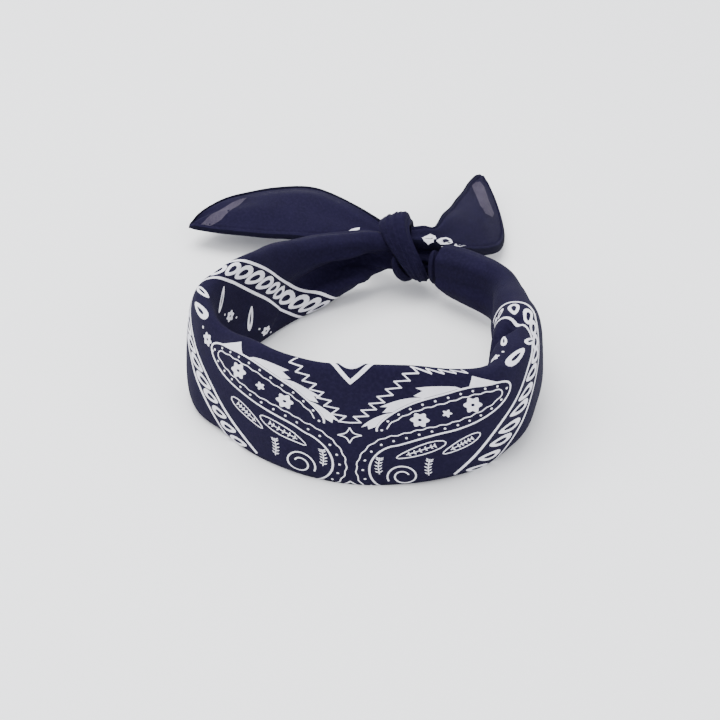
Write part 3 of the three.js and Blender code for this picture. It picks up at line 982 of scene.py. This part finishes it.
CORE_ROWS_MADE = 60
CORE_SEAM = 72  # the seam's place among the core's 96 points, under the knot
core = grid_mesh("knot_folds", core_surface(), False, navy, CORE_ROWS_MADE, CORE_SEAM)
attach(core, "root")
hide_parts("knot_core")


# The tails
TAIL_STATIONS = 300
TAIL_FACE = 60
TAIL_ROWS_MADE = 150
HEM = {"wide": 2.4, "rise": 0.75, "groove": 0.45}
# how far in from the near and the far edge the hem gets painted shade, in millimetres
HEM_SHADE_REACH = {"tail_left": (0.4, 2.6), "tail_right": (0.8, 1.5)}


def tail_surface(rows, waves):
    """A tail's closed section, from the near edge over the upper face and back under."""
    table = columns(TAIL_COLUMNS, rows)
    row = row_at(table, np.linspace(0, len(rows) - 1, TAIL_STATIONS))
    near = np.stack([row["nx"], row["ny"], row["nz"]], axis=1)[:, None, :]
    far = np.stack([row["fx"], row["fy"], row["fz"]], axis=1)[:, None, :]
    # the share across, closer together at the edges so that the hems turn smoothly
    v = (1 - np.cos(np.linspace(0, math.pi, TAIL_FACE)))[None, :, None] / 2
    edge = np.sqrt(np.maximum(0, 1 - (2 * v - 1) ** 6))
    middle = near * (1 - v) + far * v
    wide = np.linalg.norm(far - near, axis=2, keepdims=True)
    rise = row["rise"][:, None, None] * np.sin(math.pi * v)
    along = path_steps(near[:, 0] * 0.5 + far[:, 0] * 0.5)[:, None, None]
    soft = smooth_step(0, 12, wide)
    for size, across, run, phase in waves:
        rise = rise + soft * size * np.sin(across * v + run * along + phase) * np.sin(math.pi * v)
    half = row["thick"][:, None, None] / 2 * (0.35 + 0.65 * edge)
    inward = np.minimum(v, 1 - v) * wide
    hem = HEM["rise"] * (1 - smooth_step(HEM["wide"] - 0.7, HEM["wide"], inward))
    hem = (hem - HEM["groove"] * bump(inward, HEM["wide"] + 0.2, 0.7)) * smooth_step(4, 12, wide)
    up = np.array([0, 0, 1.0])
    upper = middle + up * (rise + half + hem)
    lower = middle + up * (rise - half - hem * 0.5)
    grid = np.concatenate([upper, lower[:, ::-1], upper[:, :1]], axis=1)
    surface = Surface(grid, along[:, 0, 0] / 10, lambda a, b: b, grid - middle.mean(axis=1, keepdims=True))
    from_near, from_far = (v * wide)[:, :, 0], ((1 - v) * wide)[:, :, 0]
    surface.from_near = np.concatenate([from_near, from_near[:, ::-1]], axis=1)
    surface.from_far = np.concatenate([from_far, from_far[:, ::-1]], axis=1)
    return surface


def paint_hem_shade(piece, surface, near, far):
    """Gives the rolled hem's faces a darker navy: painted shade along the tails' edges."""
    rows = np.unique(np.round(np.linspace(0, TAIL_STATIONS - 1, TAIL_ROWS_MADE)).astype(int))
    hem = (surface.from_near[rows[:-1]] < near) | (surface.from_far[rows[:-1]] < far)
    piece.data.materials.append(hem_shade)
    for face, in_hem in zip(piece.data.polygons, hem.ravel()):
        face.material_index = 1 if in_hem else 0


TAIL_WAVES = {
    "tail_left": [(0.9, 7, 0.06, 0.4), (0.5, 14, -0.05, 1.2)],
    "tail_right": [(0.9, 6, 0.05, 1.9), (0.5, 13, -0.06, 0.3)],
}


# What else shows on the tails: the last of the border's print by the knot, and near each tip the one
# thin layer, painted paler for the floor's light showing through it. A point is how far along in centimetres
# and the share across.
# These outlines, unlike the band's motifs, are traced: their points began as points of the photo.
MARK_LIFT = 0.13  # in millimetres
MARK_EDGE = (0.12, 0.05)  # the longest step along and across on a mark's rim
MARK_GRID = (0.15, 0.06)  # and between the points inside it
TAIL_PRINT = {
    "tail_left": [
        [(2.2, 0.1), (1.9, 0.2), (1.42, 0.3), (1.4, 0.24), (1.75, 0.15), (2.1, 0.07)],
        [(0.16, 0.3), (0.1, 0.36), (0.04, 0.33), (0.08, 0.27)],
    ],
    "tail_right": [
        [(0.42, 0.2), (0.62, 0.38), (0.92, 0.5), (1.2, 0.46), (1.22, 0.34), (1.02, 0.2), (0.98, 0.06),
         (0.72, 0.0), (0.55, 0.06), (0.5, 0.13)],
        [(1.12, 0.1), (1.22, 0.24), (1.5, 0.36), (1.85, 0.36), (2.08, 0.26), (2.1, 0.16), (1.92, 0.09),
         (1.6, 0.05), (1.3, 0.03)],
        [(1.3, 0.0), (1.65, 0.03), (2.05, 0.055), (2.3, 0.13), (2.5, 0.14), (3.0, 0.1), (2.5, 0.06),
         (2.1, 0.01), (1.7, 0.0)],
    ],
}
TAIL_BARE = {
    "tail_left": [],
    "tail_right": [
        [(0.74, 0.18), (0.92, 0.3), (1.04, 0.34), (0.96, 0.24), (0.82, 0.14)],
        [(1.36, 0.14), (1.5, 0.25), (1.75, 0.28), (1.92, 0.21), (1.75, 0.13), (1.52, 0.09)],
    ],
}
TAIL_THROUGH_LIGHT = {
    "tail_left": [
        [(10.5, 0.13), (10.2, 0.08), (9.8, 0.13), (9.4, 0.22), (8.66, 0.5), (8.25, 0.74), (8.6, 0.74),
         (9.0, 0.7), (9.5, 0.6), (10.1, 0.34)],
    ],
    "tail_right": [
        [(9.3, 0.86), (10.1, 0.8), (10.4, 0.66), (9.95, 0.46), (9.2, 0.41), (8.4, 0.36), (7.7, 0.24),
         (7.0, 0.28), (6.4, 0.4), (6.9, 0.54), (7.6, 0.62), (8.3, 0.7), (8.9, 0.8)],
    ],
}


def add_marks(piece, surface, outlines, material, lift):
    """Lays each outline on the tail's upper face as faces of its own, just clear of the cloth."""
    mesh = piece.data
    mesh.materials.append(material)
    made = bmesh.new()
    made.from_mesh(mesh)
    layer = made.loops.layers.uv["cloth"]
    for outline in outlines:
        rim = []
        for start, end in zip(outline, outline[1:] + outline[:1]):
            start, end = np.array(start), np.array(end)
            parts = int(np.ceil(np.max(np.abs(end - start) / MARK_EDGE)))
            rim += [start + (end - start) * k / parts for k in range(parts)]
        rim = np.array(rim)
        if signed_area(rim) < 0:
            rim = rim[::-1]
        along, across = np.meshgrid(*(
            np.arange(low, high, step) for low, high, step in zip(rim.min(axis=0), rim.max(axis=0), MARK_GRID)
        ))
        flat = np.vstack([rim, np.stack([along.ravel(), across.ravel()], axis=1)])
        points = [Vector((float(x), float(y))) for x, y in flat]
        area = [list(range(len(rim)))]
        flat, _, triangles, _, _, origins = delaunay_2d_cdt(points, [], area, 0, SAME_POINT)
        flat = np.array([tuple(q) for q in flat])
        column = (TAIL_FACE - 1) * np.arccos(np.clip(1 - 2 * flat[:, 1], -1, 1)) / math.pi
        places, normals = surface.at(np.stack([flat[:, 0], column], axis=1))
        places = (places + normals * lift + RING_CENTRE) * MM
        corners = {}
        for triangle, origin in zip(triangles, origins):
            if 0 not in origin:
                continue
            for v in triangle:
                if v not in corners:
                    corners[v] = made.verts.new(places[v])
            face = made.faces.new([corners[v] for v in triangle])
            face.normal_update()
            if face.normal.dot(Vector(normals[triangle[0]])) < 0:
                face.normal_flip()
            face.material_index = len(mesh.materials) - 1
            face.smooth = True
            for loop in face.loops:
                near = next(v for v in triangle if corners[v] is loop.vert)
                loop[layer].uv = flat[near]
    made.to_mesh(mesh)
    made.free()


for name, rows in TAILS.items():
    surface = tail_surface(rows, TAIL_WAVES[name])
    tail = grid_mesh(name.replace("tail", "cloth_tail"), surface, False, navy, TAIL_ROWS_MADE, 0)
    # the hem's faces get painted shade
    paint_hem_shade(tail, surface, *HEM_SHADE_REACH[name])
    add_marks(tail, surface, TAIL_PRINT[name], white, MARK_LIFT)
    add_marks(tail, surface, TAIL_BARE[name], navy, 2 * MARK_LIFT)
    # the thin layer near each tip, painted paler as light showing through it
    add_marks(tail, surface, TAIL_THROUGH_LIGHT[name], through_light, MARK_LIFT)
    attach(tail, "root")
    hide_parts(name)


# The floor, the light and the camera
def floor_material():
    material = bpy.data.materials.new("pale_floor")
    material.use_nodes = True
    shader = material.node_tree.nodes["Principled BSDF"]
    shader.inputs["Base Color"].default_value = (*FLOOR, 1)
    shader.inputs["Roughness"].default_value = 0.7
    shader.inputs["Specular IOR Level"].default_value = 0.2
    return material


def make_floor():
    mesh = bpy.data.meshes.new("floor")
    reach = 6.0  # in metres, past the view's edges
    corners = [(-reach, -reach, 0), (reach, -reach, 0), (reach, reach, 0), (-reach, reach, 0)]
    mesh.from_pydata(corners, [], [(0, 1, 2, 3)])
    mesh.materials.append(floor_material())
    floor = new_object("floor", mesh)


LIGHTS = [  # name, place, size and power
    ("overhead", (-0.3, 0.25, 1.5), (1.3, 1.3), 36),
    ("window", (-1.4, -0.5, 1.1), (1.2, 1.0), 14),
    ("fill", (1.2, -1.1, 0.9), (1.2, 1.0), 10),
]
WORLD = {"color": (0.92, 0.94, 1, 1), "strength": 1.4}
CAMERA = {"lens": 84.5, "sensor": 36, "place": (0.00306, -0.66278, 0.44206), "tilt": 55}


def soft_light(name, place, size, power):
    """An area light aimed at the part's origin."""
    light = bpy.data.lights.new(name, "AREA")
    light.shape = "RECTANGLE"
    light.size, light.size_y = size
    light.energy = power
    lamp = bpy.data.objects.new(name, light)
    lamp.location = place
    lamp.rotation_euler = (-Vector(place)).to_track_quat("-Z", "Y").to_euler()
    bpy.context.scene.collection.objects.link(lamp)


make_floor()
for light_row in LIGHTS:
    soft_light(*light_row)
world = bpy.data.worlds.new("studio")
world.use_nodes = True
world.node_tree.nodes["Background"].inputs["Color"].default_value = WORLD["color"]
world.node_tree.nodes["Background"].inputs["Strength"].default_value = WORLD["strength"]
bpy.context.scene.world = world

lens = bpy.data.cameras.new("camera")
lens.lens = CAMERA["lens"]
lens.sensor_width = CAMERA["sensor"]
lens.clip_start = 0.01
camera = bpy.data.objects.new("camera", lens)
camera.location = CAMERA["place"]
camera.rotation_euler = (math.radians(CAMERA["tilt"]), 0, 0)
bpy.context.scene.collection.objects.link(camera)
bpy.context.scene.camera = camera
